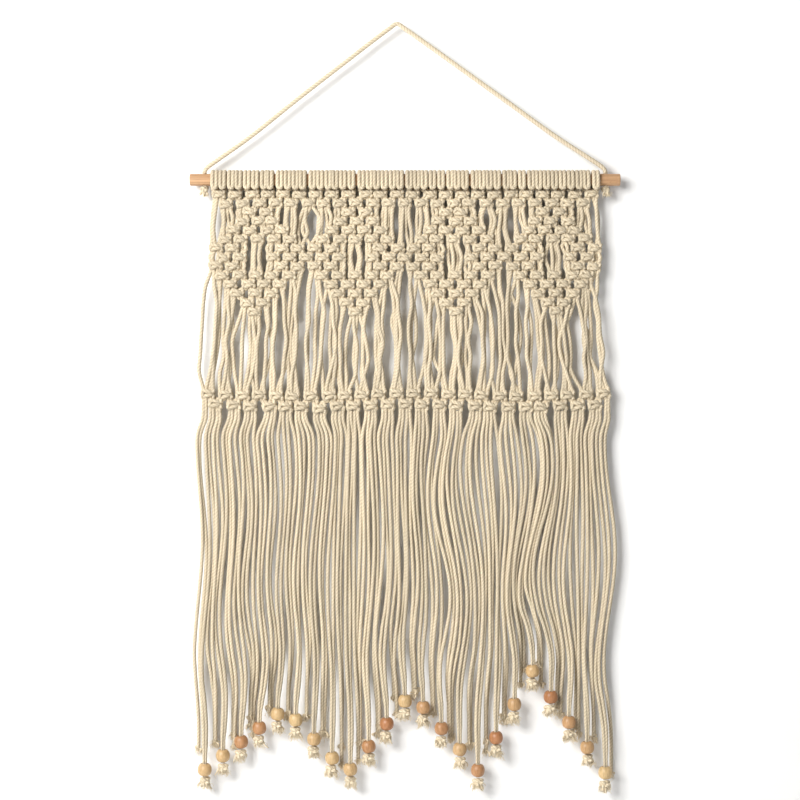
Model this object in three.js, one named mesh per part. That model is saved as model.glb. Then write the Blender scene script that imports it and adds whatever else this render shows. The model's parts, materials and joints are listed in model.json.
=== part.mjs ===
// Knotted cotton wall hanging: a wooden dowel on a hanger cord, a macrame curtain with four
// diamonds and a knot band, and a zigzag fringe with wooden beads threaded on its strands.
// Millimetres, +Z up, front towards -Y. The origin is where the hanger cord bears on its nail.
import * as THREE from 'three';

// Driving dimensions
const cordDiameter = 4;
const dowelDiameter = 12;
const dowelLength = 430;
const dowelCentreX = 8;
const dowelZ = -154;
const hitchOffset = 200.5;
const hitchKnotHeight = 6;
const hitchTailHeight = 5;
const footBend = 8;
const footArc = [0, 18, 36, 53];
const headRowLength = 385;
const gap = 0.3;

// Curtain: heights of its parts, half widths at the top, at the band and in the fringe
const borderTop = -165;
const borderBottom = -184;
const diamondBottom = -292;
const bandTop = -362;
const hingeZ = -388;
const hingeRoom = 6;
const topHalfWidth = 194;
const bandHalfWidth = 206;
const fringeHalfWidth = 209;
const netThickness = 9;
const strandSheetThickness = 5;
const diamondCount = 4;
const neckHalfWidth = 9;

// Fringe: the zigzag line that the beads hang on, as offsets from the dowel's middle
const zigzag = [
  [-200, -743], [-120, -682], [-58, -747], [6, -667], [73, -744], [127, -645], [200, -746],
];
const beadCount = 23;
const beadDiameter = 14;
const beadHeight = 12;
const beadBore = 6;
const beadRim = 0.8;
const beadArc = 1.1;
const beadFacets = 6;
const strandY = -3.2;
const fringeFront = -0.9;
const fringeBack = 4.6;
const fringeClearance = 36;
const knotRadius = 5.2;
const knotHeight = 8;
const tuftRadius = 5.6;
const tuftHeight = 10;

const cordRadius = cordDiameter / 2;
const dowelRadius = dowelDiameter / 2;
const wrapInner = dowelRadius + gap;
const wrapOuter = wrapInner + cordDiameter;
const diamondMiddle = (borderBottom + diamondBottom) / 2;

const cotton = new THREE.MeshStandardMaterial({ color: 0xe2d6b8, roughness: 0.95, metalness: 0 });
const dowelWood = new THREE.MeshStandardMaterial({ color: 0xd49a66, roughness: 0.6, metalness: 0 });
const beadWood = new THREE.MeshStandardMaterial({ color: 0xd8a673, roughness: 0.5, metalness: 0 });

const hanging = new THREE.Group();

function addPart(name, geometry, material) {
  const mesh = new THREE.Mesh(geometry, material);
  mesh.name = name;
  hanging.add(mesh);
  return mesh;
}

// A closed ring around the X axis, from its inner and outer radius
function ringAlongX(inner, outer, width, sides) {
  const half = width / 2;
  const corners = [[inner, -half], [outer, -half], [outer, half], [inner, half], [inner, -half]];
  const profile = corners.map(([r, x]) => new THREE.Vector2(r, x));
  return new THREE.LatheGeometry(profile, sides).rotateZ(-Math.PI / 2);
}

// A flat plate standing in the XZ plane, from an outline of [x, z] points, between two depths
function plate(outline, front, back) {
  const shape = new THREE.Shape(outline.map(([x, z]) => new THREE.Vector2(x, z)));
  const solid = new THREE.ExtrudeGeometry(shape, { depth: back - front, bevelEnabled: false });
  return solid.rotateX(Math.PI / 2).translate(0, back, 0);
}

// The curtain widens a little from the dowel down to the band
function flared([offset, z]) {
  const down = (borderTop - z) / (borderTop - hingeZ);
  const wide = topHalfWidth + (bandHalfWidth - topHalfWidth) * down;
  return [dowelCentreX + offset * wide / topHalfWidth, z];
}

// A cord's end: a plain length, a knot and a frayed tuft, hanging down from the origin
function knottedEnd(length, knot, tuft) {
  const knotTop = -length;
  const knotEnd = knotTop - knot;
  const profile = [
    [0, knotEnd - tuft], [tuftRadius, knotEnd - tuft], [cordRadius, knotEnd],
    [knotRadius, knotEnd + knot * 0.3], [knotRadius, knotEnd + knot * 0.7],
    [cordRadius, knotTop], [cordRadius, 0], [0, 0],
  ].map(([r, z]) => new THREE.Vector2(r, z));
  return new THREE.LatheGeometry(profile, 8).rotateX(Math.PI / 2);
}

function makeDowel() {
  const half = dowelLength / 2;
  const chamfer = 0.8;
  const profile = [
    [0, -half], [dowelRadius - chamfer, -half], [dowelRadius, -half + chamfer],
    [dowelRadius, half - chamfer], [dowelRadius - chamfer, half], [0, half],
  ].map(([r, x]) => new THREE.Vector2(r, x));
  const solid = new THREE.LatheGeometry(profile, 32).rotateZ(-Math.PI / 2);
  addPart('dowel', solid, dowelWood).position.set(dowelCentreX, 0, dowelZ);
}

// The hanger cord comes out of the dowel's top, turns through an arc and runs over the nail to the
// dowel's other end
function makeHangerCord() {
  const foot = dowelZ + dowelRadius + gap;
  const arc = footArc.map((degrees) => {
    const turn = THREE.MathUtils.degToRad(degrees);
    return [footBend * (1 - Math.cos(turn)) - hitchOffset, foot + footBend * Math.sin(turn)];
  });
  const route = [
    ...arc.map(([offset, z]) => [dowelCentreX + offset, z]), [-148, -112], [-99, -73], [-50, -35],
    [-8, -3], [0, cordRadius], [8, -3],
    [53, -35], [106, -73], [159, -111],
    ...arc.toReversed().map(([offset, z]) => [dowelCentreX - offset, z]),
  ];
  const curve = new THREE.CatmullRomCurve3(route.map(([x, z]) => new THREE.Vector3(x, 0, z)));
  const section = new THREE.Shape();
  section.absarc(0, 0, cordRadius, 0, 2 * Math.PI);
  const solid = new THREE.ExtrudeGeometry(section, { steps: 80, curveSegments: 4, extrudePath: curve });
  addPart('hanger_cord', solid, cotton);
}

// The hanger cord is knotted under the dowel at each end
function makeHitches() {
  for (const [side, sign] of [['left', -1], ['right', 1]]) {
    const solid = knottedEnd(gap, hitchKnotHeight, hitchTailHeight);
    const x = dowelCentreX + sign * hitchOffset;
    addPart(`hanger_hitch_${side}`, solid, cotton).position.set(x, 0, dowelZ - dowelRadius - gap);
  }
}

function makeHeadRow() {
  const solid = ringAlongX(wrapInner, wrapOuter, headRowLength, 24);
  addPart('head_row', solid, cotton).position.set(dowelCentreX, 0, dowelZ);
}

const diamondWidth = 2 * topHalfWidth / diamondCount;
const diamondCentres = Array.from(
  { length: diamondCount },
  (_, i) => (i - (diamondCount - 1) / 2) * diamondWidth,
);

// The border rows and the four diamonds are one net: the diamonds hang from the border by their
// tips, and meet their neighbours at their widest points
function makeDiamondNet() {
  const half = netThickness / 2;
  const reach = diamondWidth / 2 - gap;
  const outline = [[-topHalfWidth, borderTop], [topHalfWidth, borderTop], [topHalfWidth, borderBottom]];
  for (const centre of diamondCentres.toReversed()) {
    outline.push([centre + neckHalfWidth, borderBottom], [centre + reach, diamondMiddle]);
    outline.push([centre + neckHalfWidth, diamondBottom], [centre - neckHalfWidth, diamondBottom]);
    outline.push([centre - reach, diamondMiddle], [centre - neckHalfWidth, borderBottom]);
  }
  outline.push([-topHalfWidth, borderBottom]);
  addPart('diamond_net', plate(outline.map(flared), -half, half), cotton);
}

// The free strands beside and between the diamonds' upper halves
function makeUpperStrands() {
  const half = strandSheetThickness / 2;
  const top = borderBottom - 1;
  const inset = 3;
  for (let i = 0; i <= diamondCount; i += 1) {
    const middle = -topHalfWidth + i * diamondWidth;
    const low = [middle, diamondMiddle + 3 * inset];
    const left = [middle - diamondWidth / 2 + neckHalfWidth + inset, top];
    const right = [middle + diamondWidth / 2 - neckHalfWidth - inset, top];
    const outline = i === 0 ? [[middle, top], low, right]
      : i === diamondCount ? [left, low, [middle, top]] : [left, low, right];
    addPart(`upper_strands_${i + 1}`, plate(outline.map(flared), -half, half), cotton);
  }
}

// The free strands from the diamonds' lower edges down to the knot band
function makeLowerStrands() {
  const half = strandSheetThickness / 2;
  const inset = 3;
  const outline = [[topHalfWidth, bandTop + 1], [topHalfWidth, diamondMiddle - inset]];
  for (const centre of diamondCentres.toReversed()) {
    const near = neckHalfWidth + inset;
    outline.push([centre + near, diamondBottom - 1], [centre - near, diamondBottom - 1]);
    if (centre !== diamondCentres[0]) {
      outline.push([centre - diamondWidth / 2, diamondMiddle - 3 * inset]);
    }
  }
  outline.push([-topHalfWidth, diamondMiddle - inset], [-topHalfWidth, bandTop + 1]);
  addPart('lower_strands', plate(outline.map(flared), -half, half), cotton);
}

function makeKnotBand() {
  const half = netThickness / 2 + 0.5;
  const corners = [[-1, hingeZ + 2], [1, hingeZ + 2], [1, bandTop], [-1, bandTop]];
  const outline = corners.map(([side, z]) => [dowelCentreX + side * bandHalfWidth, z]);
  addPart('knot_band', plate(outline, -half, half), cotton);
}

function zigzagZ(offset) {
  const i = Math.max(1, zigzag.findIndex(([x]) => x >= offset - gap));
  const [x0, z0] = zigzag[i - 1];
  const [x1, z1] = zigzag[i];
  return z0 + (z1 - z0) * (offset - x0) / (x1 - x0);
}

// The fringe's plain sheet stays behind the beaded strands and ends above the beads' travel
function makeFringe() {
  const top = hingeZ - hingeRoom;
  const ends = zigzag.toReversed().map(([x, z]) => [x, z + fringeClearance]);
  const outline = [
    [-fringeHalfWidth, ends[ends.length - 1][1]], [-fringeHalfWidth, top],
    [fringeHalfWidth, top], [fringeHalfWidth, ends[0][1]], ...ends,
  ].map(([x, z]) => [dowelCentreX + x, z]);
  addPart('fringe', plate(outline, fringeFront, fringeBack), cotton);
}

// A bead is a round with a flat rim at each end of its hole
function beadSolid() {
  const bore = beadBore / 2;
  const rim = bore + beadRim;
  const profile = Array.from({ length: beadFacets + 1 }, (_, i) => {
    const turn = (2 * i / beadFacets - 1) * beadArc;
    const bulge = (Math.cos(turn) - Math.cos(beadArc)) / (1 - Math.cos(beadArc));
    const out = rim + (beadDiameter / 2 - rim) * bulge;
    return new THREE.Vector2(out, beadHeight / 2 * Math.sin(turn) / Math.sin(beadArc));
  });
  profile.push(new THREE.Vector2(bore, beadHeight / 2), new THREE.Vector2(bore, -beadHeight / 2));
  profile.push(profile[0].clone());
  return new THREE.LatheGeometry(profile, 12).rotateX(Math.PI / 2);
}

function makeBeadedStrands() {
  const top = hingeZ - hingeRoom;
  const first = zigzag[0][0];
  const spacing = (zigzag[zigzag.length - 1][0] - first) / (beadCount - 1);
  for (let i = 0; i < beadCount; i += 1) {
    const offset = first + i * spacing;
    const beadZ = zigzagZ(offset);
    const x = dowelCentreX + offset;
    const label = String(i + 1).padStart(2, '0');
    const knotTop = beadZ - beadHeight / 2 - gap;
    const strand = knottedEnd(top - knotTop, knotHeight, tuftHeight);
    addPart(`strand_${label}`, strand, cotton).position.set(x, strandY, top);
    addPart(`bead_${label}`, beadSolid(), beadWood).position.set(x, strandY, beadZ);
  }
}

makeDowel();
makeHangerCord();
makeHitches();
makeHeadRow();
makeDiamondNet();
makeUpperStrands();
makeLowerStrands();
makeKnotBand();
makeFringe();
makeBeadedStrands();

export default hanging;
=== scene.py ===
"""A knotted cotton wall hanging: cords hitched on a wooden dowel, four diamonds of square knots,
a knot band, and a zigzag fringe with turned wooden beads. Metres, front towards -Y."""
import json
import math
import random

import bpy
import numpy as np
from bpy.props import FloatProperty, FloatVectorProperty, IntProperty, PointerProperty
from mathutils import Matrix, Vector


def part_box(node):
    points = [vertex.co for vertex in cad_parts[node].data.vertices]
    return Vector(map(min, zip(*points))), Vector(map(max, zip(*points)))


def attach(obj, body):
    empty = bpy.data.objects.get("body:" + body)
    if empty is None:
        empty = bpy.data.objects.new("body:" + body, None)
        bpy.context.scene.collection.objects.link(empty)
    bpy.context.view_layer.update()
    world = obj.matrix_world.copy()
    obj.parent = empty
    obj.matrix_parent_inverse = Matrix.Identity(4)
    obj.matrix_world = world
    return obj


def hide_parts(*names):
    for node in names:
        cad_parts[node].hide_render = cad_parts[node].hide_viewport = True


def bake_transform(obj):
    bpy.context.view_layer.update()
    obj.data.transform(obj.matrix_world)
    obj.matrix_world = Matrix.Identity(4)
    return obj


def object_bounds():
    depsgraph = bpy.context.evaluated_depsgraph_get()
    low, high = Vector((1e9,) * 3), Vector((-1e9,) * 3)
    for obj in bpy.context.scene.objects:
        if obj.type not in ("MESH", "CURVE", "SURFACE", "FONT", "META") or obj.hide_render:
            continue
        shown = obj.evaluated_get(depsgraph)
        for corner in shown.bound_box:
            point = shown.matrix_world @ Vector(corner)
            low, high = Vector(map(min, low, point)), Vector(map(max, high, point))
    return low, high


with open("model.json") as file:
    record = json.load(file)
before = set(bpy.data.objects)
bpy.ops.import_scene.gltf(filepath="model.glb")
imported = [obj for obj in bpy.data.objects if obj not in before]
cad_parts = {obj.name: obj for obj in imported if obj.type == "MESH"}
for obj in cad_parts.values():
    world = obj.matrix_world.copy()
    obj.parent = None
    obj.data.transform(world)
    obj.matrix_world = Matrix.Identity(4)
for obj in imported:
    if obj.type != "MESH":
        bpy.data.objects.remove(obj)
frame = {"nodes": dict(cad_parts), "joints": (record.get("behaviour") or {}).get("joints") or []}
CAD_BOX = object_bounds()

bl_info = {
    "name": "Knotted wall hanging",
    "version": (1, 0, 0),
    "blender": (4, 5, 0),
    "location": "View3D > Sidebar > Hanging",
    "description": "Builds a macrame wall hanging cord by cord around its packed frame",
    "category": "Object",
}

MM = 0.001
FRONT = -1.0  # the front faces -Y, so a depth towards the viewer is multiplied by this
PLIES = 3
PLY_SHAPE = (0.91, 1.0, 1.0)  # a ply's groove and its crest, as shares of the cord's radius
LOOSE_PLY_SHAPE = (0.95, 1.0) * 3
FIBRE_SHAPE = (1.0,) * 3
FIBRE_LEAN = 0.7  # the fibres in a ply turn back by this share of the ply's own turn
TONE_SHIFT = 37.0  # moves cords of another tone to another part of the fibre pattern, in mm

DOWEL_LOW, DOWEL_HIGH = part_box("dowel")
HEADS_LOW, HEADS_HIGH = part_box("head_row")
BAND_LOW, BAND_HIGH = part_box("knot_band")
HANGER_LOW, HANGER_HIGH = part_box("hanger_cord")
BEAD_NAMES = sorted(n for n in frame["nodes"] if n.startswith("bead_"))
BEAD_BOXES = [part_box(name) for name in BEAD_NAMES]
BEAD_CENTRES = [(low + high) / 2 for low, high in BEAD_BOXES]
MIDDLE_X = (DOWEL_LOW.x + DOWEL_HIGH.x) / 2
DOWEL_Z = (DOWEL_LOW.z + DOWEL_HIGH.z) / 2
DOWEL_RADIUS = (DOWEL_HIGH.z - DOWEL_LOW.z) / 2
JOINTS = {joint["name"]: joint for joint in frame["joints"]}
BEND_Z = JOINTS["fringe_swing"]["pos_m"][2]

# How thick a cord is in each place, as a share of its own thickness: a hanging strand is drawn
# out, and two of them share a bead's hole
IN_NET = 0.94
IN_FRINGE = 0.88
IN_BEAD = 0.68
IN_KNOT = 0.46  # the radius, not the diameter, of a cord that is pulled tight

# Rows of knots. EYE_HALVES is half the open eye's width, in knots, by rows from EYE_ROW.
NET_ROWS, FULL_ROWS, BAND_ROWS = 14, 2, 2
EYE_ROW = 7
EYE_HALVES = {0: 0.1, 1: 0.6}

# Hand-made unevenness
KNOT_SCATTER, CORD_SCATTER, HEAD_SCATTER = 0.5 * MM, 0.15 * MM, 0.7 * MM
KNOT_TILT = 0.1
BAND_WAVE = 1.4 * MM
WAVE_TURN, WAVE_START = 29, 1.2  # the band's wave, in radians a metre and radians

# Free strands: how deep each of four neighbours lies between knots, in the fringe and at its tip
NET_DEPTHS = tuple(depth * MM for depth in (1.5, -2.2, 2.0, -1.2))
FRINGE_DEPTHS = tuple(depth * MM for depth in (-1.0, 0.7, -0.5, 1.1))
TIP_DEPTHS = tuple(depth * MM for depth in (5.2, 7.4, 6.2, 7.8))
SHORTEST_SPAN, LONG_SPAN = 4 * MM, 60 * MM
STRAND_STEP = 1.35 * MM

NET_PIECES, FREE_PIECES = 8, 5  # how many meshes the cords are shared out over
STRAND_ENDS = {}  # where each strand leaves the curtain, for the fringe to go on from

SOFTBOXES = (
    ("key", (-1.15, -1.55, 0.32), 1.15, 59.0, (1.0, 0.99, 0.97)),
    ("fill", (1.5, -1.7, -0.2), 1.6, 5.0, (0.97, 0.985, 1.0)),
    ("back", (0.7, 1.7, 0.3), 1.4, 34.0, (1.0, 0.99, 0.97)),
)

# The hanger cord's route, from the dowel's top at its left end, over the nail, to its top at its
# right end, as x and z
HANGER_ROUTE = [
    (-0.1925, -0.1477), (-0.1921, -0.1452), (-0.1910, -0.1430), (-0.1893, -0.1413),
    (-0.148, -0.112), (-0.099, -0.073), (-0.050, -0.035), (-0.008, -0.003), (0.0, 0.002),
    (0.008, -0.003), (0.053, -0.035), (0.106, -0.073), (0.159, -0.111),
    (0.2053, -0.1413), (0.2070, -0.1430), (0.2081, -0.1452), (0.2085, -0.1477),
]

# A flat square knot, as points of across, forward and down, in millimetres, for a knot of
# KNOT_HEIGHT whose neighbour is KNOT_PITCH away. Its four strands are the one that crosses in
# front twice, the two that hang straight inside, and the one that passes behind twice.
CROSSING_CORD = [
    (-4.1, 0.2, 0.9), (-4.4, 1.0, 1.7), (-3.0, 2.9, 2.8), (0.0, 4.0, 3.4), (3.0, 2.9, 4.1),
    (4.6, 0.4, 5.0), (4.9, -0.8, 5.8), (4.5, 0.8, 6.6), (3.0, 3.0, 6.9), (0.0, 4.0, 7.4),
    (-3.0, 2.7, 8.1), (-4.3, 0.5, 9.5), (-3.9, 0.0, 10.3),
]
PASSING_CORD = [
    (4.1, 0.4, 0.7), (4.8, 2.4, 1.8), (4.9, 3.2, 3.1), (4.2, 1.2, 4.4), (2.9, -2.3, 4.5),
    (0.0, -3.8, 4.0), (-2.9, -2.3, 3.5), (-3.9, 1.0, 3.3), (-4.8, 3.0, 4.1), (-4.4, 3.3, 5.5),
    (-4.8, 3.2, 6.9), (-4.2, 1.2, 8.6), (-2.9, -2.3, 9.0), (0.0, -3.8, 8.6), (2.9, -2.3, 8.1),
    (4.0, 1.2, 7.6), (5.0, 2.6, 8.2), (4.8, 1.2, 9.5), (3.9, 0.0, 10.4),
]
LEFT_CORE = [(-1.7, 0.0, 0.8), (-1.6, 0.9, 5.5), (-1.7, 0.0, 10.2)]
RIGHT_CORE = [(1.7, 0.0, 0.8), (1.6, 0.9, 5.5), (1.7, 0.0, 10.2)]
KNOT_LANES = (CROSSING_CORD, LEFT_CORE, RIGHT_CORE, PASSING_CORD)
KNOT_HEIGHT = 11.0
KNOT_PITCH = 14.9
KNOT_STRANDS = len(KNOT_LANES)


def linear(hex_text):
    """An sRGB hex colour as linear red, green and blue."""
    parts = [int(hex_text[i:i + 2], 16) / 255 for i in (1, 3, 5)]
    return tuple(p / 12.92 if p <= 0.04045 else ((p + 0.055) / 1.055) ** 2.4 for p in parts)


class CordSettings(bpy.types.PropertyGroup):
    """The cotton cord that everything is knotted from"""
    thickness: FloatProperty(
        name="Cord thickness", description="Diameter of the cotton cord before it is handled",
        default=HANGER_HIGH.y - HANGER_LOW.y, unit="LENGTH", subtype="DISTANCE")
    fluff: FloatProperty(
        name="Fluff", description="How many times thicker the cord's loosened surface stands",
        default=1.16, min=1.0, max=1.25)
    lay: FloatProperty(
        name="Lay", description="Length of cord in which a ply goes once round",
        default=0.0105, unit="LENGTH", subtype="DISTANCE")
    crest: FloatVectorProperty(
        name="Crest colour", description="Natural cotton on the outside of a ply",
        default=linear("#F0E3CA"), size=3, subtype="COLOR")
    # painted shade: the fibres' low spots are darkened towards this colour
    shade: FloatVectorProperty(
        name="Painted fibre shade", description="Painted shade down in the fibres",
        default=linear("#DCCBAC"), size=3, subtype="COLOR")
    # painted shade: the grooves between plies are darkened towards this colour
    groove_shade: FloatVectorProperty(
        name="Painted groove shade", description="Painted shade down between two plies",
        default=linear("#A38C68"), size=3, subtype="COLOR")


class CurtainSettings(bpy.types.PropertyGroup):
    """How the cords are knotted"""
    strands: IntProperty(
        name="Strands", description="Hanging strands, two for each cord on the dowel", default=96)
    diamonds: IntProperty(
        name="Diamonds", description="Diamonds of square knots side by side", default=4)
    row_height: FloatProperty(
        name="Row height", description="Height of one row of knots in the diamonds",
        default=0.0090, unit="LENGTH", subtype="DISTANCE")
    band_row_height: FloatProperty(
        name="Band row height", description="Height of one row of knots in the knot band",
        default=0.011, unit="LENGTH", subtype="DISTANCE")
    looseness: FloatProperty(
        name="Looseness", description="How far a free strand strays to each side",
        default=0.0050, unit="LENGTH", subtype="DISTANCE")
    seed: IntProperty(name="Seed", description="Which hand-made irregularity is drawn", default=7)


class WoodSettings(bpy.types.PropertyGroup):
    """The dowel and the beads"""
    dowel_pale: FloatVectorProperty(
        name="Dowel", description="Early wood of the dowel", default=linear("#CBA37B"), size=3,
        subtype="COLOR")
    dowel_grain: FloatVectorProperty(
        name="Dowel grain", description="Late wood and flecks of the dowel",
        default=linear("#A27853"), size=3, subtype="COLOR")
    bead_pale: FloatVectorProperty(
        name="Pale beads", description="The palest beads", default=linear("#D3B585"), size=3,
        subtype="COLOR")
    bead_warm: FloatVectorProperty(
        name="Warm beads", description="The reddest beads", default=linear("#B27B53"), size=3,
        subtype="COLOR")


class StageSettings(bpy.types.PropertyGroup):
    """Camera, light and backdrop"""
    lens: FloatProperty(name="Lens", description="Focal length in millimetres", default=85.0)
    frame_width: FloatProperty(
        name="Frame width", description="Width of the picture at the hanging",
        default=0.8, unit="LENGTH", subtype="DISTANCE")
    wall_gap: FloatProperty(
        name="Wall gap", description="Room between the hanging's back and the wall",
        default=0.0015, unit="LENGTH", subtype="DISTANCE")


def add_node(tree, kind, inputs=None, **settings):
    """A shader node with its settings, and its inputs set to values or linked to outputs."""
    node = tree.nodes.new(kind)
    for name, value in settings.items():
        setattr(node, name, value)
    for name, value in (inputs or {}).items():
        if isinstance(value, bpy.types.NodeSocket):
            tree.links.new(value, node.inputs[name])
        else:
            node.inputs[name].default_value = value
    return node


def new_material(name):
    """An empty node material and its tree."""
    material = bpy.data.materials.new(name)
    material.use_nodes = True
    material.node_tree.nodes.clear()
    return material, material.node_tree


def opaque(colour):
    return (*colour, 1.0)


def cotton_cord_material(cord):
    """Three-ply twisted natural cotton. Spun and twisted undyed, so it is matt and warm white,
    with fine fibres along each ply and soft fuzz at grazing angles. Shade is painted into the
    colour: darker where the fibre bump is low, and darker still in the grooves between plies."""
    material, tree = new_material("natural_cotton_cord")
    run = add_node(tree, "ShaderNodeAttribute", attribute_name="run")
    # painted shade mask: how deep in a groove between plies each corner lies
    groove_shade = add_node(tree, "ShaderNodeAttribute", attribute_name="groove_shade")
    tone = add_node(tree, "ShaderNodeAttribute", attribute_name="tone")
    # run is in millimetres: a spun fibre bundle is about 0.25 mm wide and 2.5 mm long
    along = add_node(tree, "ShaderNodeMapping", {
        "Vector": run.outputs["Vector"], "Scale": (4.0, 4.0, 0.4)})
    fibres = add_node(tree, "ShaderNodeTexNoise", {
        "Vector": along.outputs["Vector"], "Scale": 1.0, "Detail": 4.0, "Roughness": 0.6})
    # slubs and dust, one about every 12 mm
    slubs = add_node(tree, "ShaderNodeTexNoise", {
        "Vector": run.outputs["Vector"], "Scale": 0.08, "Detail": 2.0})
    # painted shade: where the fibre bump is low, the colour goes towards the shade colour
    depth = add_node(tree, "ShaderNodeMapRange", {
        "Value": fibres.outputs["Fac"], "From Min": 0.32, "From Max": 0.62})
    body = add_node(tree, "ShaderNodeMix", {
        "Factor": depth.outputs["Result"], "A": opaque(cord.shade),
        "B": opaque(cord.crest)}, data_type="RGBA")
    # painted shade: the grooves between plies go halfway towards the groove shade colour
    between = add_node(tree, "ShaderNodeMath", {
        0: groove_shade.outputs["Fac"], 1: 0.5}, operation="MULTIPLY")
    groove_shaded = add_node(tree, "ShaderNodeMix", {
        "Factor": between.outputs["Value"], "A": body.outputs["Result"],
        "B": opaque(cord.groove_shade)}, data_type="RGBA")
    spread = add_node(tree, "ShaderNodeMath", {
        0: slubs.outputs["Fac"], 1: 0.16, 2: 0.83}, operation="MULTIPLY_ADD")
    level = add_node(tree, "ShaderNodeMath", {
        0: tone.outputs["Fac"], 1: spread.outputs["Value"]}, operation="MULTIPLY")
    toned = add_node(tree, "ShaderNodeHueSaturation", {
        "Color": groove_shaded.outputs["Result"], "Value": level.outputs["Value"]})
    bump = add_node(tree, "ShaderNodeBump", {
        "Height": fibres.outputs["Fac"], "Strength": 0.55, "Distance": 0.25 * MM})
    surface = add_node(tree, "ShaderNodeBsdfPrincipled", {
        "Base Color": toned.outputs["Color"], "Roughness": 0.92, "IOR": 1.53,
        "Specular IOR Level": 0.25, "Sheen Weight": 0.25, "Sheen Roughness": 0.6,
        "Sheen Tint": opaque(linear("#FFF6E2")), "Normal": bump.outputs["Normal"]})
    add_node(tree, "ShaderNodeOutputMaterial", {"Surface": surface.outputs["BSDF"]})
    return material


def dowel_material(wood):
    """A turned beech dowel, sanded and left with a thin oil: straight grain along its length,
    short dark flecks and a dull satin."""
    material, tree = new_material("oiled_beech_dowel")
    place = add_node(tree, "ShaderNodeTexCoord")
    # grain lines about 1.2 mm apart and 60 mm long
    stretched = add_node(tree, "ShaderNodeMapping", {
        "Vector": place.outputs["Object"], "Scale": (16.0, 800.0, 800.0)})
    grain = add_node(tree, "ShaderNodeTexNoise", {
        "Vector": stretched.outputs["Vector"], "Scale": 1.0, "Detail": 5.0, "Roughness": 0.65,
        "Distortion": 0.4})
    # beech flecks are about 0.4 mm wide and 3 mm long
    short = add_node(tree, "ShaderNodeMapping", {
        "Vector": place.outputs["Object"], "Scale": (330.0, 2400.0, 2400.0)})
    flecks = add_node(tree, "ShaderNodeTexNoise", {
        "Vector": short.outputs["Vector"], "Scale": 1.0, "Detail": 2.0})
    ramp = add_node(tree, "ShaderNodeMapRange", {
        "Value": grain.outputs["Fac"], "From Min": 0.38, "From Max": 0.66})
    fleck = add_node(tree, "ShaderNodeMapRange", {
        "Value": flecks.outputs["Fac"], "From Min": 0.6, "From Max": 0.72, "To Max": 0.55})
    body = add_node(tree, "ShaderNodeMix", {
        "Factor": ramp.outputs["Result"], "A": opaque(wood.dowel_pale),
        "B": opaque(wood.dowel_grain)}, data_type="RGBA")
    marked = add_node(tree, "ShaderNodeMix", {
        "Factor": fleck.outputs["Result"], "A": body.outputs["Result"],
        "B": opaque(linear("#96623A"))}, data_type="RGBA")
    rough = add_node(tree, "ShaderNodeMapRange", {
        "Value": grain.outputs["Fac"], "To Min": 0.48, "To Max": 0.68})
    bump = add_node(tree, "ShaderNodeBump", {
        "Height": grain.outputs["Fac"], "Strength": 0.3, "Distance": 0.15 * MM})
    surface = add_node(tree, "ShaderNodeBsdfPrincipled", {
        "Base Color": marked.outputs["Result"], "Roughness": rough.outputs["Result"], "IOR": 1.5,
        "Normal": bump.outputs["Normal"]})
    add_node(tree, "ShaderNodeOutputMaterial", {"Surface": surface.outputs["BSDF"]})
    return material


def bead_material(wood):
    """A small turned bead of plain unstained wood, tumbled smooth with wax: the grain runs along
    the hole, and each bead is cut from a paler or redder piece of wood."""
    material, tree = new_material("waxed_wood_bead")
    place = add_node(tree, "ShaderNodeTexCoord")
    tone = add_node(tree, "ShaderNodeAttribute", attribute_name="tone")
    # year rings about 1.6 mm apart, stretched along the hole
    stretched = add_node(tree, "ShaderNodeMapping", {
        "Vector": place.outputs["Object"], "Scale": (620.0, 620.0, 110.0)})
    rings = add_node(tree, "ShaderNodeTexNoise", {
        "Vector": stretched.outputs["Vector"], "Scale": 1.0, "Detail": 4.0, "Roughness": 0.6,
        "Distortion": 0.9})
    colour = add_node(tree, "ShaderNodeMix", {
        "Factor": tone.outputs["Fac"], "A": opaque(wood.bead_pale),
        "B": opaque(wood.bead_warm)}, data_type="RGBA")
    dark = add_node(tree, "ShaderNodeHueSaturation", {
        "Color": colour.outputs["Result"], "Value": 0.66, "Saturation": 1.12})
    lines = add_node(tree, "ShaderNodeMapRange", {
        "Value": rings.outputs["Fac"], "From Min": 0.44, "From Max": 0.68, "To Max": 0.8})
    body = add_node(tree, "ShaderNodeMix", {
        "Factor": lines.outputs["Result"], "A": colour.outputs["Result"],
        "B": dark.outputs["Color"]}, data_type="RGBA")
    bump = add_node(tree, "ShaderNodeBump", {
        "Height": rings.outputs["Fac"], "Strength": 0.25, "Distance": 0.1 * MM})
    surface = add_node(tree, "ShaderNodeBsdfPrincipled", {
        "Base Color": body.outputs["Result"], "Roughness": 0.42, "IOR": 1.5, "Coat Weight": 0.12,
        "Coat Roughness": 0.3, "Normal": bump.outputs["Normal"]})
    add_node(tree, "ShaderNodeOutputMaterial", {"Surface": surface.outputs["BSDF"]})
    return material


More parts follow.
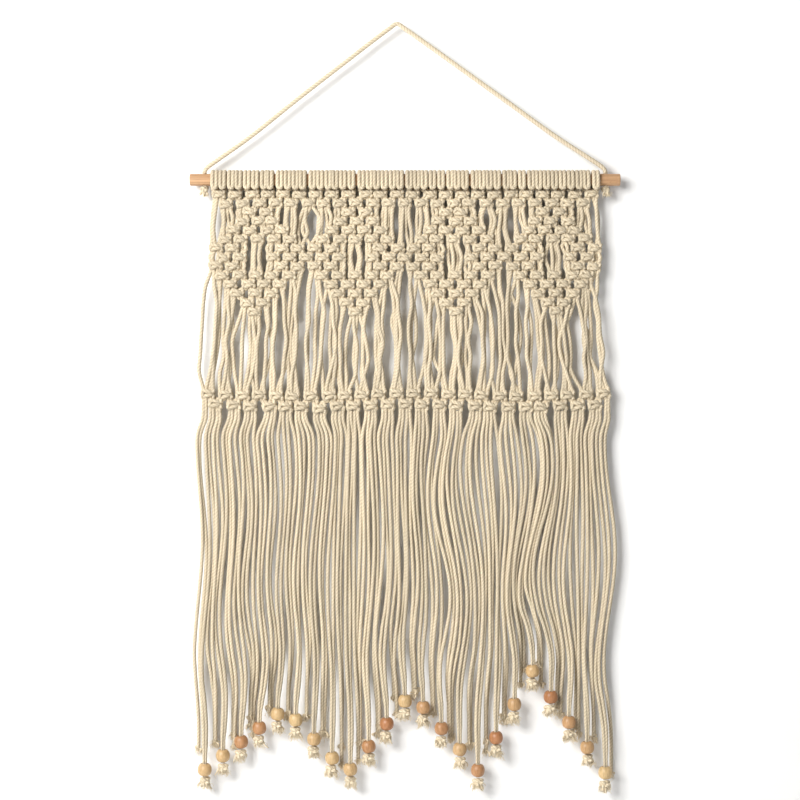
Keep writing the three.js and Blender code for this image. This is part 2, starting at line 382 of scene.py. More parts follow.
def matt_wall_material():
    """Matt white wall paint, rolled: very slight unevenness. Its back lets the view through, so
    that the hanging can be looked at from behind."""
    material, tree = new_material("matt_white_wall")
    place = add_node(tree, "ShaderNodeTexCoord")
    roller = add_node(tree, "ShaderNodeTexNoise", {
        "Vector": place.outputs["Object"], "Scale": 300.0, "Detail": 3.0})
    bump = add_node(tree, "ShaderNodeBump", {
        "Height": roller.outputs["Fac"], "Strength": 0.05, "Distance": 0.2 * MM})
    paint = add_node(tree, "ShaderNodeBsdfPrincipled", {
        "Base Color": opaque(linear("#F7F7F7")), "Roughness": 0.9,
        "Normal": bump.outputs["Normal"]})
    clear = add_node(tree, "ShaderNodeBsdfTransparent")
    side = add_node(tree, "ShaderNodeNewGeometry")
    mix = add_node(tree, "ShaderNodeMixShader", {
        0: side.outputs["Backfacing"], 1: paint.outputs["BSDF"], 2: clear.outputs["BSDF"]})
    add_node(tree, "ShaderNodeOutputMaterial", {"Surface": mix.outputs["Shader"]})
    return material


def material_of(name, make, settings):
    """The finish of that name, made the first time it is asked for."""
    return bpy.data.materials.get(name) or make(settings)


def cotton(scene):
    return material_of("natural_cotton_cord", cotton_cord_material, scene.hanging_cord)


def ease(value, start, end):
    """How far the value has come from start to end, from 0 to 1."""
    return min(1.0, max(0.0, (value - start) / (end - start)))


def mesh_object(name, points, faces, material, smooth=True):
    """A mesh with one material, as an object in the scene."""
    mesh = bpy.data.meshes.new(name)
    mesh.from_pydata(points, [], faces)
    mesh.polygons.foreach_set("use_smooth", [smooth] * len(mesh.polygons))
    mesh.materials.append(material)
    piece = bpy.data.objects.new(name, mesh)
    bpy.context.scene.collection.objects.link(piece)
    return piece


def smooth_line(points, step):
    """A rounded line through the points, as points about step apart."""
    p = np.array(points, float)
    chord = np.maximum(np.linalg.norm(np.diff(p, axis=0), axis=1), 1e-7) ** 0.5
    slope = np.diff(p, axis=0) / chord[:, None]
    before, after = chord[:-1, None], chord[1:, None]
    inner = (slope[1:] * before + slope[:-1] * after) / (before + after)
    tangent = np.vstack([slope[:1], inner, slope[-1:]])
    at = np.concatenate([[0], np.cumsum(chord)])
    fine = np.linspace(0, at[-1], len(p) * 10)
    i = np.clip(np.searchsorted(at, fine, side="right") - 1, 0, len(chord) - 1)
    h = chord[i][:, None]
    u = (fine - at[i])[:, None] / h
    line = (
        (2 * u**3 - 3 * u**2 + 1) * p[i] + (u**3 - 2 * u**2 + u) * h * tangent[i]
        + (3 * u**2 - 2 * u**3) * p[i + 1] + (u**3 - u**2) * h * tangent[i + 1]
    )
    length = np.concatenate([[0], np.cumsum(np.linalg.norm(np.diff(line, axis=0), axis=1))])
    even = np.linspace(0, length[-1], max(3, round(length[-1] / step) + 1))
    return np.column_stack([np.interp(even, length, line[:, k]) for k in range(3)])


def ring_axes(line):
    """Two directions across the line at each of its points, turning no more than the line does."""
    tangent = np.gradient(line, axis=0)
    tangent /= np.linalg.norm(tangent, axis=1)[:, None]
    first = np.cross(tangent[0], (0.0, 1.0, 0.0))
    if np.linalg.norm(first) < 0.1:
        first = np.cross(tangent[0], (1.0, 0.0, 0.0))
    across = np.empty_like(line)
    across[0] = first / np.linalg.norm(first)
    for i in range(1, len(line)):
        side = across[i - 1] - tangent[i] * across[i - 1].dot(tangent[i])
        across[i] = side / math.sqrt(side.dot(side))
    return across, np.cross(tangent, across)


class Yarn:
    """Cords and fibres that are gathered into one mesh."""

    def __init__(self):
        self.points, self.faces, self.run, self.groove_shade, self.tone = [], [], [], [], []
        self.count = 0

    def add_tube(self, line, radius, shape, lay, tone, start=0.0):
        """A closed tube along the line. shape is the section's radius at each corner, and the
        section turns once in each lay."""
        sides, rings = len(shape), len(line)
        length = np.concatenate([[0], np.cumsum(np.linalg.norm(np.diff(line, axis=0), axis=1))])
        across, over = ring_axes(line)
        turn = 2 * math.pi * ((length + start) / lay)[:, None]
        angle = turn + np.arange(sides)[None, :] * 2 * math.pi / sides
        reach = np.broadcast_to(np.asarray(radius, float), (rings,))[:, None] * np.array(shape)
        x, y = reach * np.cos(angle), reach * np.sin(angle)
        ring = line[:, None, :] + x[..., None] * across[:, None] + y[..., None] * over[:, None]
        spin = angle - FIBRE_LEAN * turn
        run = np.stack([reach * np.cos(spin), reach * np.sin(spin),
                        np.broadcast_to(length[:, None] + start, x.shape)], axis=-1) / MM
        # painted shade mask: 0 on a ply's crest, 1 down in the groove between two plies
        groove_shade = np.broadcast_to((1.0 - np.array(shape)) / (1.0 - min(PLY_SHAPE)), x.shape)
        i, j = np.meshgrid(np.arange(rings - 1), np.arange(sides), indexing="ij")
        k = (j + 1) % sides
        quads = np.stack([i * sides + j, i * sides + k, (i + 1) * sides + k,
                          (i + 1) * sides + j], axis=-1).reshape(-1, 4) + self.count
        self.faces.extend(quads.tolist())
        self.faces.append([self.count + n for n in reversed(range(sides))])
        last = self.count + (rings - 1) * sides
        self.faces.append([last + n for n in range(sides)])
        self.points.append(ring.reshape(-1, 3))
        self.run.append(run.reshape(-1, 3) + TONE_SHIFT * tone)
        self.groove_shade.append(groove_shade.reshape(-1))
        self.tone.append(np.full(rings * sides, tone))
        self.count += rings * sides

    def piece(self, name, material):
        """The gathered tubes as one shaded mesh object."""
        piece = mesh_object(name, np.vstack(self.points).tolist(), self.faces, material)
        for label, kind, values, key in (
                ("run", "FLOAT_VECTOR", np.vstack(self.run), "vector"),
                ("groove_shade", "FLOAT", np.concatenate(self.groove_shade), "value"),
                ("tone", "FLOAT", np.concatenate(self.tone), "value")):
            store = piece.data.attributes.new(label, kind, "POINT")
            store.data.foreach_set(key, values.astype(np.float32).ravel())
        return piece


def lay_cord(yarn, line, radius, cord, draw):
    """One three-ply cord along a line of even points."""
    yarn.add_tube(line, radius, PLY_SHAPE * PLIES, cord.lay, draw.uniform(0.88, 1.06),
                  draw.uniform(0, cord.lay))


class Layout:
    """Where every strand and knot of the curtain lies."""

    def __init__(self, curtain):
        self.strands = curtain.strands
        self.knots_across = curtain.strands // KNOT_STRANDS
        self.row_height = curtain.row_height
        self.top = HEADS_LOW.z + 0.4 * MM
        self.half_top = (HEADS_HIGH.x - HEADS_LOW.x) / 2 + 1.5 * MM
        self.half_band = (BAND_HIGH.x - BAND_LOW.x) / 2
        self.diamonds = curtain.diamonds
        self.draw = random.Random(curtain.seed)
        self.rows = []
        self.net_rows()
        self.band_rows(curtain.band_row_height)

    def half_width(self, z):
        """The curtain's half width, which grows from the dowel down to the band."""
        down = ease(self.top - z, 0.0, self.top - BAND_HIGH.z)
        return self.half_top + (self.half_band - self.half_top) * down

    def knot_room(self, z):
        """The width that each knot of a row has to itself."""
        return 2 * self.half_width(z) / self.knots_across

    def x_of(self, places, z):
        """The x of a place counted in knots from the middle."""
        return MIDDLE_X + places * self.knot_room(z)

    def lane(self, strand):
        """A strand's own place, counted in knots from the middle."""
        return (strand - (self.strands - 1) / 2) / KNOT_STRANDS

    def in_net(self, row, place):
        """Whether the net has a knot there: full rows on top, then diamonds with an eye."""
        if row < FULL_ROWS:
            return True
        half = min(row - FULL_ROWS + 1, NET_ROWS - 1 - row) / 2
        spacing = self.knots_across / self.diamonds
        for n in range(self.diamonds):
            off = abs(place - (n - (self.diamonds - 1) / 2) * spacing)
            if off <= half + 0.01:
                return off >= EYE_HALVES.get(abs(row - EYE_ROW), 0.0)
        return False

    def add_row(self, z, height, odd, wanted, wave=0.0):
        """A row of knots. An odd row's knots take two strands from each neighbour above."""
        shift = 1 if odd else 0
        first = shift * KNOT_STRANDS // 2
        middle = (self.knots_across - 1 - shift) / 2
        knots = {}
        for m in range(self.knots_across - shift):
            place = m - middle
            if wanted(place):
                x = self.x_of(place, z) + self.draw.gauss(0, KNOT_SCATTER)
                lift = self.draw.gauss(0, KNOT_SCATTER)
                lift += wave * math.sin(WAVE_TURN * x + WAVE_START)
                tilt = self.draw.gauss(0, KNOT_TILT)
                for lane in range(KNOT_STRANDS):
                    knots[KNOT_STRANDS * m + first + lane] = (x, z + lift, height, tilt, lane)
        self.rows.append(knots)

    def net_rows(self):
        for row in range(NET_ROWS):
            z = self.top - row * self.row_height
            self.add_row(z, self.row_height, row % 2 == 1,
                         lambda place, row=row: self.in_net(row, place))

    def band_rows(self, height):
        for row in range(BAND_ROWS):
            z = BAND_HIGH.z - 1.0 * MM - row * height
            self.add_row(z, height, row % 2 == 1, lambda place: True, BAND_WAVE)

    def knot_points(self, knot):
        """The points of one strand's way through a knot."""
        x, z, height, tilt, lane = knot
        unit = self.knot_room(z) / KNOT_PITCH
        points = []
        for across, forward, down in KNOT_LANES[lane]:
            u = across * unit + self.draw.gauss(0, CORD_SCATTER)
            v = down * height / KNOT_HEIGHT
            points.append((x + u + tilt * v, FRONT * forward * MM, z - v + tilt * u))
        return points

    def span(self, start, end, strand, loose):
        """The free points between two knots: the strand strays sideways and in depth, and on a
        long way down it goes most of the way over to its own lane."""
        drop = start[2] - end[2]
        if drop < SHORTEST_SPAN:
            return []
        count = max(1, round(drop / (20 * MM)))
        freedom = min(1.0, drop / LONG_SPAN)
        to_lane = 0.3 + 0.45 * freedom
        waviness = 0.22 * loose * min(1.0, 1.5 * drop / LONG_SPAN)
        sway = self.draw.gauss(0, loose) * freedom
        points = []
        for n in range(count):
            t = (n + 1) / (count + 1)
            z = start[2] - drop * t
            belly = math.sin(math.pi * t)
            x = start[0] * (1 - t) + end[0] * t
            lane_x = self.x_of(self.lane(strand), z)
            x += (lane_x - x) * to_lane * min(1.0, 1.5 * belly) + sway * belly
            x += self.draw.gauss(0, waviness)
            reach = self.half_width(z) + 1 * MM
            x = MIDDLE_X + max(-reach, min(reach, x - MIDDLE_X))
            y = NET_DEPTHS[strand % 4] * belly + self.draw.gauss(0, KNOT_SCATTER)
            points.append((x, y, z))
        return points

    def strand_points(self, strand, loose):
        """A strand from under its hitch on the dowel down to the end of the knot band."""
        places = [row[strand] for row in self.rows if strand in row]
        points = self.knot_points(places[0])
        for knot in places[1:]:
            following = self.knot_points(knot)
            points += self.span(points[-1], following[0], strand, loose) + following
        if points[-1][2] > BEND_Z + SHORTEST_SPAN:
            points.append((points[-1][0], 0.0, BEND_Z + 1.5 * MM))
        return points


def hitch_points(x, side, radius):
    """Half of a lark's head on the dowel, from the middle of its front bar: up the front, over
    the dowel, down its back and out below, behind the bar."""
    wrap = DOWEL_RADIUS + radius
    bar_y = FRONT * (wrap + 0.6 * MM)
    bar_z = DOWEL_Z - 9.0 * MM
    out = side * radius * 1.02
    points = [(x, bar_y, bar_z), (x + out * 0.8, bar_y, bar_z + 0.8 * MM)]
    for turn in range(0, 241, 30):
        a = math.radians(turn)
        points.append((x + out, FRONT * wrap * math.cos(a), DOWEL_Z + wrap * math.sin(a)))
    points.append((x + out, FRONT * 0.5 * MM, bar_z - 0.6 * MM))
    return points


def make_net(scene):
    """The curtain's cords, from the dowel to the end of the knot band, one tube to each cord."""
    cord, curtain = scene.hanging_cord, scene.hanging_curtain
    layout = Layout(curtain)
    heads = curtain.strands // 2
    radius = cord.thickness / 2
    for group in range(NET_PIECES):
        yarn = Yarn()
        for head in range(group * heads // NET_PIECES, (group + 1) * heads // NET_PIECES):
            pair = (2 * head, 2 * head + 1)
            x = layout.x_of((layout.lane(pair[0]) + layout.lane(pair[1])) / 2, layout.top)
            x += layout.draw.gauss(0, HEAD_SCATTER)
            halves = []
            for side, strand in zip((-1, 1), pair):
                down = layout.strand_points(strand, curtain.looseness)
                STRAND_ENDS[strand] = down[-1]
                halves.append(hitch_points(x, side, radius * 0.97) + down)
            line = smooth_line(halves[0][:0:-1] + halves[1], 1.25 * MM)
            lay_cord(yarn, line, radius * IN_NET * cord.fluff, cord, layout.draw)
        piece = yarn.piece(f"knotted_cords_{group + 1}", cotton(scene))
        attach(piece, "curtain")
        if group == 0:
            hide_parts("head_row", "diamond_net", "lower_strands", "knot_band",
                        *(f"upper_strands_{n}" for n in range(1, 6)))


def trefoil(centre, size):
    """The middle line of a tight overhand knot that hangs at centre."""
    steps = 17
    points = []
    for n in range(steps):
        t = math.pi * (0.35 + 2.0 * n / steps)
        points.append((centre[0] + size[0] * (math.sin(t) + 2 * math.sin(2 * t)) / 3,
                       centre[1] - size[1] * math.sin(3 * t),
                       centre[2] + size[2] * (math.cos(t) - 2 * math.cos(2 * t)) / 3))
    return points


class Fringe:
    """Where the strands of the fringe lie."""

    def __init__(self, curtain):
        self.draw = random.Random(curtain.seed + 1)
        self.strands = curtain.strands
        self.loose = curtain.looseness
        self.half = (BAND_HIGH.x - BAND_LOW.x) / 2 - 1.5 * MM
        self.bead_x = [centre.x for centre in BEAD_CENTRES]
        self.bead_z = [centre.z for centre in BEAD_CENTRES]
        self.threaded = {}
        for bead in range(len(BEAD_NAMES)):
            strand = 1 + round(bead * (curtain.strands - 4) / (len(BEAD_NAMES) - 1))
            self.threaded[strand] = (bead, -1)
            self.threaded[strand + 1] = (bead, 1)
        # long waves that neighbours share: radians a metre across and down, and where each begins
        self.waves = [(self.draw.uniform(14, 60), self.draw.uniform(-34, 34),
                       self.draw.uniform(0, 6.3)) for _ in range(7)]

    def even_x(self, strand):
        """A strand's place when all of them hang side by side."""
        return MIDDLE_X + (2 * strand / (self.strands - 1) - 1) * self.half

    def drift(self, x, z):
        """How far neighbouring strands stray together."""
        total = sum(math.sin(across * x + down * z + phase)
                    for across, down, phase in self.waves)
        return total * self.loose * 0.4

    def line_of(self, strand, x, y, z):
        """A strand's points from the knot band to a given end."""
        start = STRAND_ENDS[strand]
        top = (start[0], start[1], BEND_Z + 3 * MM)
        drop = top[2] - z
        count = round(drop / (24 * MM))
        depth = FRINGE_DEPTHS[strand % 4]
        even = self.even_x(strand)
        sway = [self.draw.gauss(0, self.loose * 0.1) for _ in range(4)]
        points = [top, (top[0] * 0.7 + even * 0.3, top[1], BEND_Z - 5 * MM)]
        for n in range(1, count):
            t = n / count
            here = top[2] - drop * t
            settled = ease(drop * t, 0.0, 26 * MM)
            gathered = ease(t, 0.35, 0.94) ** 1.7
            free = settled * (1 - ease(t, 0.72, 0.94))
            close = ease(t, 0.74, 0.9)
            px = top[0] + (even - top[0]) * settled + (x - even) * gathered
            px += free * self.drift(even, here)
            px += free * sum(w * math.sin((k + 1.5) * math.pi * t) for k, w in enumerate(sway))
            py = depth * settled * (1 - close) + y * close
            points.append((px, py + self.draw.gauss(0, 0.2) * MM, here))
        points.append((x, y, z))
        return points

    def free_end(self, strand):
        """Where a strand without a bead ends: between two beads or behind one."""
        even = self.even_x(strand)
        spacing = self.bead_x[1] - self.bead_x[0]
        gap = math.floor((even - self.bead_x[0]) / spacing)
        between = self.bead_x[0] + (gap + 0.5) * spacing
        off = max(-1.0, min(1.0, (even - between) / (spacing / 2)))
        x = between + off * 3.4 * MM + self.draw.gauss(0, 0.7) * MM
        zigzag = np.interp(x, self.bead_x, self.bead_z)
        return x, TIP_DEPTHS[strand % 4], zigzag + self.draw.uniform(-3, 20) * MM


def fray(yarn, cord, draw, tip, heading, length, spread, plies, fibres):
    """Untwisted plies and loose fibres that burst out of a cord's cut end."""
    ply_ends = (cord.thickness * 0.25, cord.thickness * 0.17)
    fibre_ends = (0.22 * MM, 0.12 * MM)
    tip, heading = np.array(tip, float), np.array(heading, float)
    for n in range(plies + fibres):
        fine = n >= plies
        out = np.array([draw.gauss(0, 1), draw.gauss(0, 0.8), draw.gauss(0, 0.5)])
        reach = length * draw.uniform(0.3, 1.0 if fine else 0.75)
        end = tip + heading * reach + out * spread * draw.uniform(0.3, 1.0)
        curl = np.array([draw.gauss(0, 1) for _ in range(3)]) * spread * 0.5
        middle = (tip + end) / 2 + out * spread * 0.3 + curl
        aside = out * cord.thickness * 0.12
        root = tip - heading * 1.5 * MM + aside
        line = smooth_line([root, tip + aside, middle, end], 1.0 * MM)
        if fine:
            radius = np.linspace(*fibre_ends, len(line))
            yarn.add_tube(line, radius, FIBRE_SHAPE, 1.0, draw.uniform(1.1, 1.22))
        else:
            radius = np.linspace(*ply_ends, len(line))
            yarn.add_tube(line, radius, LOOSE_PLY_SHAPE, 9 * MM, draw.uniform(1.08, 1.18))


def cut_tip(yarn, line, cord, draw):
    """The frayed end of a strand that carries no bead."""
    heading = line[-1] - line[-3]
    heading /= np.linalg.norm(heading)
    fray(yarn, cord, draw, line[-1], heading, length=7.5 * MM, spread=2.8 * MM, plies=8, fibres=34)


def make_bead_knot(scene, number, draw):
    """The crumpled overhand knot and frayed tuft that hold a bead up."""
    cord = scene.hanging_cord
    centre = BEAD_CENTRES[number - 1]
    yarn = Yarn()
    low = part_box(f"strand_{number:02d}")[0].z
    bead_foot = BEAD_BOXES[number - 1][0].z
    middle = (centre.x + draw.uniform(-0.8, 0.8) * MM, centre.y, bead_foot - 4.8 * MM)
    for turn in (-1, 0, 1):
        size = (draw.uniform(3.6, 4.6) * MM, 1.8 * MM, draw.uniform(2.6, 3.6) * MM)
        place = (middle[0] + draw.uniform(-1.2, 1.2) * MM, middle[1] + turn * 2.1 * MM,
                 middle[2] - draw.uniform(0, 1.4) * MM)
        line = smooth_line(trefoil(place, size), 1.0 * MM)
        yarn.add_tube(line, cord.thickness * IN_KNOT, PLY_SHAPE * PLIES, cord.lay, 1.12)
    length = (middle[2] - low) * 0.66
    for side in (-1.0, -0.5, 0.0, 0.5, 1.0):
        root = (middle[0] + side * 2.6 * MM, middle[1] + draw.uniform(-2.2, 1.5) * MM,
                middle[2] - draw.uniform(0.5, 2.5) * MM)
        heading = (side * 0.3 + draw.uniform(-0.35, 0.35), draw.uniform(-0.3, 0.2), -1.0)
        fray(yarn, cord, draw, root, heading, length, spread=2.3 * MM, plies=4, fibres=22)
    piece = yarn.piece(f"bead_knot_{number:02d}", cotton(scene))
    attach(piece, "fringe")
    return piece


def beaded_line(fringe, strand, cord):
    """The line of a strand that carries a bead, and its radius all along: two strands share the
    bead's hole, so they are squeezed there and over the bead's way up."""
    bead, side = fringe.threaded[strand]
    (low, high), centre = BEAD_BOXES[bead], BEAD_CENTRES[bead]
    x, y = centre.x + side * 1.0 * MM, centre.y + side * 0.4 * MM
    line = smooth_line(fringe.line_of(strand, x, y, low.z - 1.0 * MM), STRAND_STEP)
    swollen = np.clip((line[:, 2] - high.z - 9 * MM) / (9 * MM), 0.0, 1.0)
    return line, cord.thickness / 2 * (IN_BEAD + (IN_FRINGE * cord.fluff - IN_BEAD) * swollen)


def make_beaded_strand(scene, number, line, radius, draw):
    """A strand that carries a bead, with its knot."""
    cord = scene.hanging_cord
    knot = make_bead_knot(scene, number, draw)
    yarn = Yarn()
    lay_cord(yarn, line, radius, cord, draw)
    piece = yarn.piece(f"beaded_strand_{number:02d}", cotton(scene))
    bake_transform(piece)
    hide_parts(f"strand_{number:02d}")


def make_fringe(scene):
    """The fringe's strands: one of the two that share each bead is a piece of its own, beside the
    bead's knot, and the others are shared out over FREE_PIECES meshes.
    """
    cord, curtain = scene.hanging_cord, scene.hanging_curtain
    if not STRAND_ENDS:
        raise RuntimeError("the fringe hangs from the knotted curtain, which is not made yet")
    fringe = Fringe(curtain)
    draw = fringe.draw
    yarns = [Yarn() for _ in range(FREE_PIECES)]
    for strand in range(curtain.strands):
        yarn = yarns[strand * FREE_PIECES // curtain.strands]
        if strand in fringe.threaded:
            bead, side = fringe.threaded[strand]
            line, radius = beaded_line(fringe, strand, cord)
            if side > 0:
                lay_cord(yarn, line, radius, cord, draw)
            else:
                make_beaded_strand(scene, bead + 1, line, radius, draw)
        else:
            line = smooth_line(fringe.line_of(strand, *fringe.free_end(strand)), STRAND_STEP)
            lay_cord(yarn, line, cord.thickness / 2 * IN_FRINGE * cord.fluff, cord, draw)
            cut_tip(yarn, line, cord, draw)
    for n, yarn in enumerate(yarns):
        piece = yarn.piece(f"free_strands_{n + 1}", cotton(scene))
        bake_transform(piece)
        if n == 0:
            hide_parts("fringe")


def turned(name, profile, centre, segments, material, axis, tone, draw, lean=0.0):
    """A turned wooden piece: a closed profile of radius and height, spun round its axis, with
    the slight unevenness of hand sanding."""
    rows = len(profile)
    wobble = [draw.gauss(0, 0.004) for _ in range(4)]
    points = []
    for radius, height in profile:
        for s in range(segments):
            a = 2 * math.pi * s / segments
            r = radius * (1 + sum(w * math.cos((n + 2) * a) for n, w in enumerate(wobble)))
            across, over = r * math.cos(a), r * math.sin(a)
            if axis == "X":
                spot = (height, across, over)
            else:
                spot = (across * math.cos(lean) - height * math.sin(lean), over,
                        across * math.sin(lean) + height * math.cos(lean))
            points.append(tuple(c + p for c, p in zip(centre, spot)))
    faces = []
    for i in range(rows):
        for s in range(segments):
            n, k = (i + 1) % rows, (s + 1) % segments
            faces.append([i * segments + s, i * segments + k, n * segments + k, n * segments + s])
    piece = mesh_object(name, points, faces, material)
    store = piece.data.attributes.new("tone", "FLOAT", "POINT")
    store.data.foreach_set("value", np.full(len(points), tone, np.float32))
    return piece


def bead_profile(radius, half):
    """A bead's section as radius and height: a round flattened at its hole, with the hole's
    edges eased."""
    bore, face, lip, edge = 3.0 * MM, 1.0 * MM, 0.7 * MM, 0.35 * MM
    flat = math.radians(72)
    profile = []
    for n in range(-12, 13):
        a = flat * n / 12
        bulge = (math.cos(a) - math.cos(flat)) / (1 - math.cos(flat))
        profile.append((bore + face + (radius - bore - face) * bulge,
                        half * math.sin(a) / math.sin(flat)))
    for start, height in ((90, half - edge), (180, edge - half)):
        for n in range(5):
            a = math.radians(start + 22.5 * n)
            profile.append((bore + lip + lip * math.cos(a), height + edge * math.sin(a)))
    return profile


def make_beads(scene):
    """The beads, each from a paler or redder piece of wood and a little askew on its strands."""
    material = material_of("waxed_wood_bead", bead_material, scene.hanging_wood)
    draw = random.Random(21)
    for number, (low, high) in enumerate(BEAD_BOXES, 1):
        profile = bead_profile((high.x - low.x) / 2, (high.z - low.z) / 2)
        tone = draw.choice((0.0, 0.1, 0.2, 0.3, 0.45, 0.6, 0.8, 1.0))
        piece = turned(f"turned_bead_{number:02d}", profile, BEAD_CENTRES[number - 1], 40,
                       material, "Z", tone, draw, lean=draw.gauss(0, 0.09))
        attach(piece, f"bead_{number:02d}")
        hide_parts(f"bead_{number:02d}")


def make_dowel(scene):
    """The turned dowel, with its end edges sanded round and a slight unevenness between them."""
    material = material_of("oiled_beech_dowel", dowel_material, scene.hanging_wood)
    half = (DOWEL_HIGH.x - DOWEL_LOW.x) / 2
    edge, rings = 0.9 * MM, 30
    end = [(0.05 * MM, -half), (DOWEL_RADIUS * 0.5, -half)]
    for n in range(6):
        a = math.radians(90 * n / 5)
        end.append((DOWEL_RADIUS - edge + edge * math.sin(a), edge - half - edge * math.cos(a)))
    middle = [(DOWEL_RADIUS * (1 + 0.004 * math.sin(n * 1.9)),
               (half - edge) * (2 * n / rings - 1)) for n in range(1, rings)]
    other_end = [(radius, -x) for radius, x in reversed(end)]
    piece = turned("turned_dowel", end + middle + other_end, (MIDDLE_X, 0, DOWEL_Z), 48,
                   material, "X", 0.5, random.Random(3))
    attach(piece, "hanger")
    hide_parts("dowel")


def make_hanger_knot(scene, side, foot):
    """The hanger cord's end: it comes through the dowel, is knotted under it and frays."""
    cord = scene.hanging_cord
    draw = random.Random(40 + side)
    x = foot[0]
    under = DOWEL_Z - DOWEL_RADIUS
    knot_z = under - 3.9 * MM
    points = [(x, 0.0, foot[2]), (x, 0.0, DOWEL_Z), (x, 0.0, under)]
    points += trefoil((x, 0.0, knot_z), (3.1 * MM, 2.1 * MM, 2.4 * MM))
    points.append((x + side * 1.2 * MM, FRONT * 1.0 * MM, knot_z - 4.0 * MM))
    line = smooth_line(points, 1.0 * MM)
    yarn = Yarn()
    lay_cord(yarn, line, cord.thickness * IN_KNOT, cord, draw)
    for shift in (-1.8, 0.0, 1.8):
        tip = line[-1] + np.array([shift * MM, 0, 1.6 * MM])
        fray(yarn, cord, draw, tip, (shift * 0.2, -0.1, -1.0), length=6 * MM, spread=1.7 * MM,
             plies=3, fibres=20)
    label = "left" if side < 0 else "right"
    piece = yarn.piece(f"hanger_knot_{label}", cotton(scene))
    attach(piece, "hanger")
    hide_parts(f"hanger_hitch_{label}")
    return piece


def make_hanger(scene):
    """The cord that the hanging hangs by, and its two end knots."""
    cord = scene.hanging_cord
    route = [(x, 0.0, z) for x, z in HANGER_ROUTE]
    line = smooth_line(route, 1.5 * MM)
    yarn = Yarn()
    lay_cord(yarn, line, cord.thickness / 2 * cord.fluff, cord, random.Random(5))
    piece = yarn.piece("hanger_rope", cotton(scene))
    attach(piece, "hanger")
    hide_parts("hanger_cord")
    knots = [make_hanger_knot(scene, -1, route[0]), make_hanger_knot(scene, 1, route[-1])]


def softbox(name, place, target, size, power, colour):
    """An area light that looks at a point."""
    light = bpy.data.lights.new(name, "AREA")
    light.shape, light.size, light.energy, light.color = "SQUARE", size, power, colour
    lamp = bpy.data.objects.new(name, light)
    lamp.location = place
    away = [p - t for p, t in zip(place, target)]
    turn = math.atan2(away[0], -away[1])
    tilt = math.atan2(away[2], math.hypot(away[0], away[1]))
    lamp.rotation_euler = (math.pi / 2 - tilt, 0, turn)
    bpy.context.scene.collection.objects.link(lamp)


def make_camera(scene, centre):
    """The camera, square to the wall and far enough away for its frame's width."""
    stage = scene.hanging_stage
    sensor = 36.0
    camera = bpy.data.cameras.new("camera")
    camera.lens, camera.sensor_width = stage.lens, sensor
    eye = bpy.data.objects.new("camera", camera)
    eye.location = (centre[0], -stage.frame_width * stage.lens / sensor, centre[2])
    eye.rotation_euler = (math.pi / 2, 0, 0)
    scene.collection.objects.link(eye)
    scene.camera = eye


def make_stage(scene):
    """Camera, a white wall and floor, and soft light from the upper left."""
    low, high = CAD_BOX
    centre = (MIDDLE_X - 5 * MM, 0.0, (low.z + high.z) / 2 + 9 * MM)
    make_camera(scene, centre)
    wall_y = high.y + scene.hanging_stage.wall_gap
    side, top, depth, floor_z = 3.0, 2.0, 4.0, low.z - 0.4
    material = matt_wall_material()
    for name, corners in (
            ("wall", [(-side, wall_y, floor_z), (side, wall_y, floor_z),
                      (side, wall_y, top), (-side, wall_y, top)]),
            ("floor", [(-side, wall_y - depth, floor_z), (side, wall_y - depth, floor_z),
                       (side, wall_y, floor_z), (-side, wall_y, floor_z)])):
        mesh_object(name, corners, [(0, 1, 2, 3)], material, smooth=False)
    for name, place, size, power, colour in SOFTBOXES:
        softbox(name, place, centre, size, power, colour)
    world = bpy.data.worlds.new("studio")
    world.use_nodes = True
    background = world.node_tree.nodes["Background"]
    background.inputs["Color"].default_value = (1, 1, 1, 1)
    background.inputs["Strength"].default_value = 0.08
    scene.world = world
    scene.view_settings.view_transform = "Standard"


class HANGING_OT_stage(bpy.types.Operator):
    """Set up the camera, the wall, the floor and the lights"""
    bl_idname = "hanging.stage"
    bl_label = "Stage"

    def execute(self, context):
        make_stage(context.scene)
        return {"FINISHED"}


class HANGING_OT_hanger(bpy.types.Operator):
    """Make the hanger cord and its two end knots"""
    bl_idname = "hanging.hanger"
    bl_label = "Hanger cord"

    def execute(self, context):
        make_hanger(context.scene)
        return {"FINISHED"}


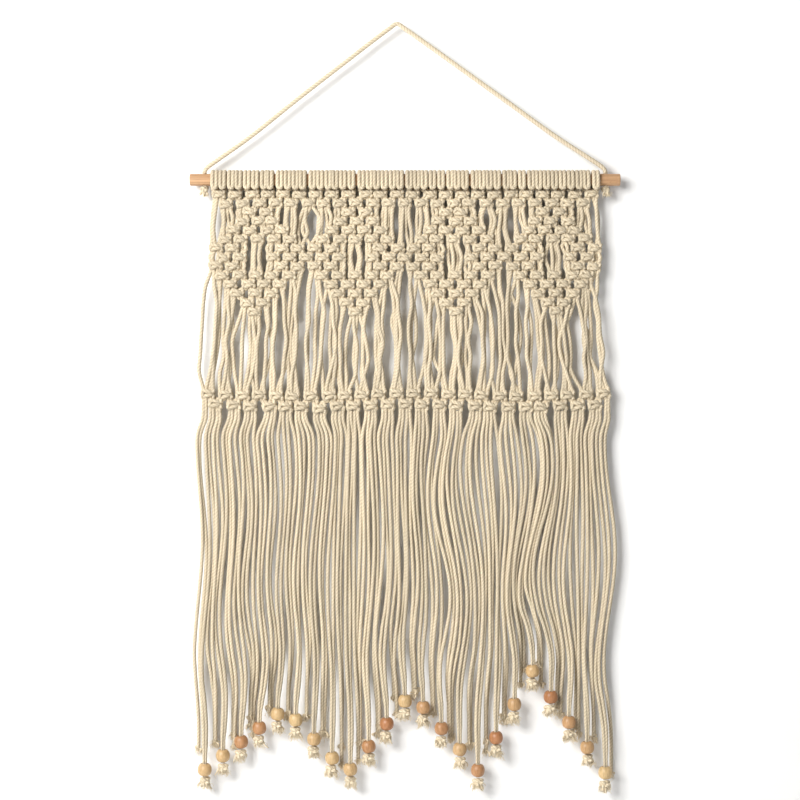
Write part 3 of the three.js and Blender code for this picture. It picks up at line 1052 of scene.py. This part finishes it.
class HANGING_OT_beads(bpy.types.Operator):
    """Make the turned wooden beads"""
    bl_idname = "hanging.beads"
    bl_label = "Beads"

    def execute(self, context):
        make_beads(context.scene)
        return {"FINISHED"}


class HANGING_OT_curtain(bpy.types.Operator):
    """Make the cords that are knotted into the net and the knot band"""
    bl_idname = "hanging.curtain"
    bl_label = "Knotted curtain"

    def execute(self, context):
        make_net(context.scene)
        return {"FINISHED"}


class HANGING_OT_fringe(bpy.types.Operator):
    """Make the fringe under the knotted curtain. The beads and the curtain come first"""
    bl_idname = "hanging.fringe"
    bl_label = "Fringe"

    def execute(self, context):
        make_fringe(context.scene)
        return {"FINISHED"}


class HANGING_OT_dowel(bpy.types.Operator):
    """Make the dowel"""
    bl_idname = "hanging.dowel"
    bl_label = "Dowel"

    def execute(self, context):
        make_dowel(context.scene)
        return {"FINISHED"}


OPERATORS = (HANGING_OT_stage, HANGING_OT_hanger, HANGING_OT_beads, HANGING_OT_curtain,
             HANGING_OT_fringe, HANGING_OT_dowel)
GROUPS = {"hanging_cord": CordSettings, "hanging_curtain": CurtainSettings,
          "hanging_wood": WoodSettings, "hanging_stage": StageSettings}


class HANGING_PT_pieces(bpy.types.Panel):
    """The hanging's settings and pieces"""
    bl_idname = "HANGING_PT_pieces"
    bl_label = "Wall hanging"
    bl_space_type = "VIEW_3D"
    bl_region_type = "UI"
    bl_category = "Hanging"

    def draw(self, context):
        for operator in OPERATORS:
            self.layout.operator(operator.bl_idname)
        for name, group in GROUPS.items():
            box = self.layout.box()
            for setting in group.__annotations__:
                box.prop(getattr(context.scene, name), setting)


CLASSES = (*GROUPS.values(), *OPERATORS, HANGING_PT_pieces)


def register():
    for item in CLASSES:
        bpy.utils.register_class(item)
    for name, group in GROUPS.items():
        setattr(bpy.types.Scene, name, PointerProperty(type=group))


def unregister():
    for name in GROUPS:
        delattr(bpy.types.Scene, name)
    for item in reversed(CLASSES):
        bpy.utils.unregister_class(item)


def main():
    register()
    for operator in OPERATORS:
        group, name = operator.bl_idname.split(".")
        getattr(getattr(bpy.ops, group), name)()


if __name__ == "__main__":
    main()
